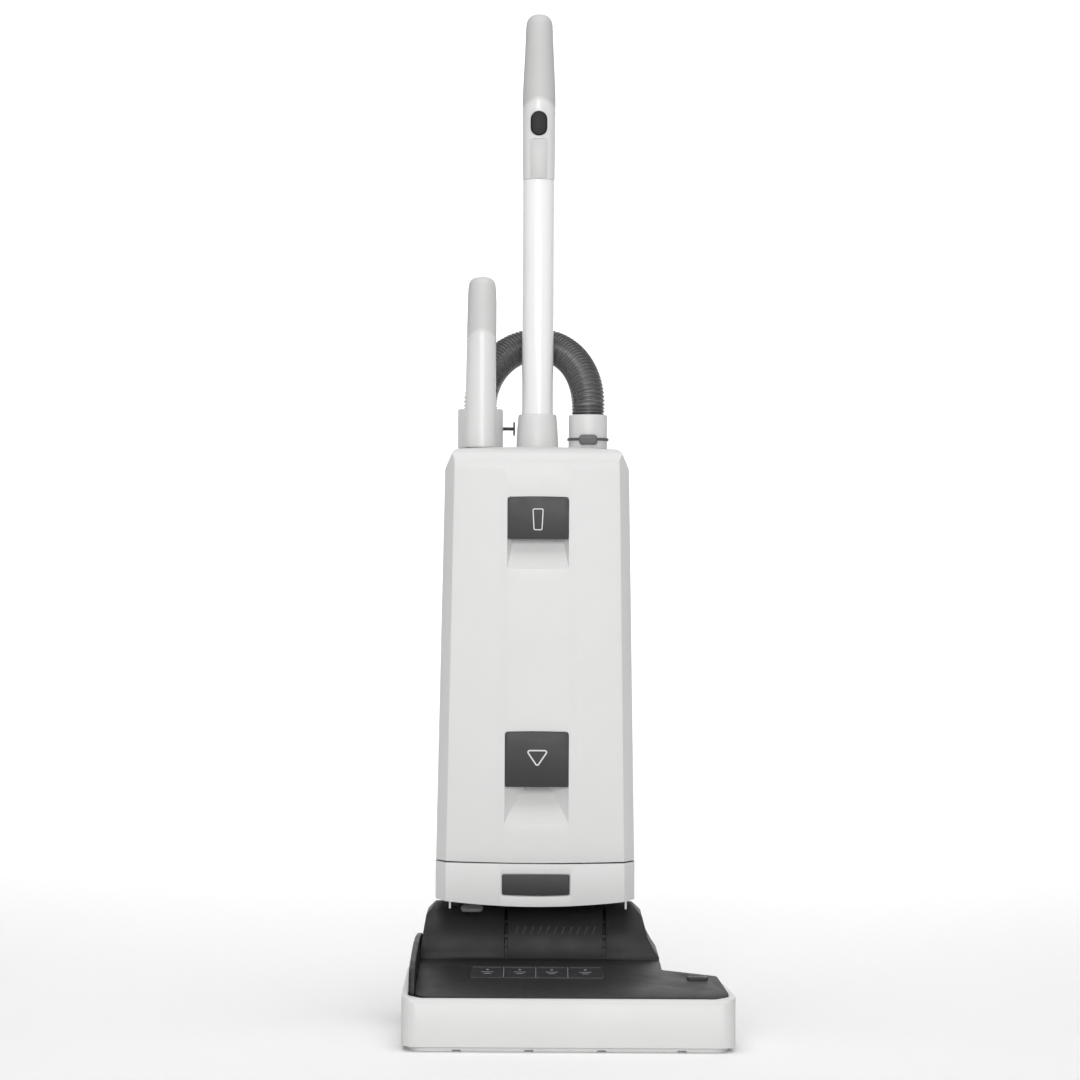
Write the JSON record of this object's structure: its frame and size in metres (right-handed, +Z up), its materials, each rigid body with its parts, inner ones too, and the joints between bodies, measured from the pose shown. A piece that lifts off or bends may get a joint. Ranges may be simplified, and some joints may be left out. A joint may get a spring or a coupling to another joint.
{
  "type": "upright vacuum cleaner",
  "caption": "Commercial upright vacuum cleaner: wide brush head, tall reclining body with front bag cover, tube handle, pull-out wand and arched stretch hose.",
  "frame": {"origin": "on the floor, in the middle of the box of the whole machine", "axes": "+Z up, the front of the head faces -Y, +X to the right seen from the front"},
  "size_m": [0.4, 0.34, 1.272],
  "materials": {
    "light_shell": "fine moulded satin",
    "dark_shell": "fine moulded satin",
    "dark_panel": "satin",
    "grey_grip": "satin, slightly soft",
    "white_tube": "gloss lacquer",
    "steel": "ground",
    "alloy": "pressed can",
    "inner_plastic": "plain moulded",
    "rubber": "matt",
    "tyre": "matt",
    "bristle": "dense nylon bristle",
    "hose_plastic": "satin ribbed",
    "fleece": "non-woven fleece",
    "card": "pressed card"
  },
  "bodies": {
    "head": {"bumper": "light_shell", "sole_plate": "light_shell", "head_tray": "dark_shell", "head_cover": "dark_shell", "left_side_cover": "dark_shell", "indicator_panel": "dark_panel", "drive_belt": "rubber", "brush_motor": "alloy", "brush_bearing_left": "steel", "brush_bearing_right": "steel", "pivot_pin_left": "steel", "pivot_pin_right": "steel", "rear_axle": "steel"},
    "release_pedal": {"release_pedal": "grey_grip"},
    "brush_release": {"brush_release_button": "dark_panel"},
    "brush": {"brush_roller": "bristle", "brush_pulley": "inner_plastic"},
    "motor_pulley": {"motor_pulley": "inner_plastic"},
    "wheel_left": {"rear_wheel_left": "inner_plastic", "rear_tyre_left": "tyre"},
    "wheel_right": {"rear_wheel_right": "inner_plastic", "rear_tyre_right": "tyre"},
    "upright": {"neck_drum": "dark_shell", "base_housing": "light_shell", "base_plate": "dark_panel", "rear_casing": "light_shell", "suction_motor": "alloy", "fan_housing": "inner_plastic", "motor_mount_ring": "rubber", "motor_gasket": "rubber", "motor_deck": "inner_plastic", "motor_filter": "fleece", "lower_duct": "inner_plastic", "wand_channel": "inner_plastic", "filter_bag": "fleece", "bag_plate": "card", "bag_holder": "inner_plastic", "exhaust_grille": "dark_panel", "exhaust_filter": "fleece", "handle_socket": "light_shell", "handle_tube": "white_tube", "handle_grip": "grey_grip", "grip_plate": "grey_grip", "handle_screw": "dark_panel", "hose_port": "light_shell", "hose_clip": "dark_panel", "lower_cord_hook": "dark_panel", "cord_inlet": "rubber"},
    "fan": {"fan_impeller": "alloy"},
    "front_cover": {"front_cover": "light_shell", "cover_seal": "rubber"},
    "upper_latch": {"upper_latch": "dark_panel"},
    "lower_latch": {"lower_latch": "dark_panel"},
    "wand": {"wand_grip": "grey_grip", "wand_tube": "white_tube", "hose": "hose_plastic"},
    "wand_catch": {"wand_catch": "dark_panel"},
    "power_switch": {"power_switch": "dark_panel"},
    "upper_cord_hook": {"upper_cord_hook": "dark_panel"}
  },
  "joints": [
    {"name": "recline", "type": "hinge", "parent": "head", "child": "upright", "pos_m": [-0.042, 0.088, 0.09], "axis": [-1, 0, 0], "range_deg": [0, 80]},
    {"name": "brush_spin", "type": "hinge", "parent": "head", "child": "brush", "pos_m": [0, -0.112, 0.033], "axis": [1, 0, 0], "continuous": true},
    {"name": "motor_pulley_spin", "type": "hinge", "parent": "head", "child": "motor_pulley", "pos_m": [-0.165, -0.018, 0.048], "axis": [1, 0, 0], "continuous": true},
    {"name": "wheel_left_spin", "type": "hinge", "parent": "head", "child": "wheel_left", "pos_m": [-0.165, 0.114, 0.03], "axis": [1, 0, 0], "continuous": true},
    {"name": "wheel_right_spin", "type": "hinge", "parent": "head", "child": "wheel_right", "pos_m": [0.075, 0.114, 0.03], "axis": [1, 0, 0], "continuous": true},
    {"name": "pedal_press", "type": "slide", "parent": "head", "child": "release_pedal", "axis": [0, 0.5798, -0.8147], "range_m": [0, 0.0045], "stiffness_N_per_m": 300, "springref_m": -0.01},
    {"name": "brush_release_press", "type": "slide", "parent": "head", "child": "brush_release", "axis": [0, 0, -1], "range_m": [0, 0.002], "stiffness_N_per_m": 500, "springref_m": -0.004},
    {"name": "front_cover_open", "type": "hinge", "parent": "upright", "child": "front_cover", "pos_m": [-0.042, -0.006, 0.208], "axis": [1, 0, 0], "range_deg": [0, 75]},
    {"name": "upper_latch_pull", "type": "hinge", "parent": "front_cover", "child": "upper_latch", "pos_m": [-0.0405, -0.0064, 0.6602], "axis": [-1, 0, 0], "range_deg": [0, 20], "stiffness_Nm_per_rad": 0.3, "springref_deg": -17.19},
    {"name": "lower_latch_pull", "type": "hinge", "parent": "front_cover", "child": "lower_latch", "pos_m": [-0.0405, -0.0064, 0.3702], "axis": [-1, 0, 0], "range_deg": [0, 20], "stiffness_Nm_per_rad": 0.4, "springref_deg": -17.19},
    {"name": "wand_pull", "type": "slide", "parent": "upright", "child": "wand", "axis": [0, 0, 1], "range_m": [0, 0.12]},
    {"name": "wand_catch_press", "type": "slide", "parent": "wand", "child": "wand_catch", "axis": [-1, 0, 0], "range_m": [0, 0.0035], "stiffness_N_per_m": 300, "springref_m": -0.004},
    {"name": "power_switch_press", "type": "slide", "parent": "upright", "child": "power_switch", "axis": [0, 1, 0], "range_m": [0, 0.002], "stiffness_N_per_m": 600, "springref_m": -0.003},
    {"name": "upper_cord_hook_turn", "type": "hinge", "parent": "upright", "child": "upper_cord_hook", "pos_m": [-0.042, 0.16, 0.64], "axis": [0, 1, 0], "range_deg": [0, 180]},
    {"name": "fan_spin", "type": "hinge", "parent": "upright", "child": "fan", "pos_m": [0.02, 0.085, 0.26], "axis": [0, 0, 1], "continuous": true}
  ],
  "couplings": [
    {"joint": "motor_pulley_spin", "follows": "brush_spin", "ratio": 2.25}
  ]
}
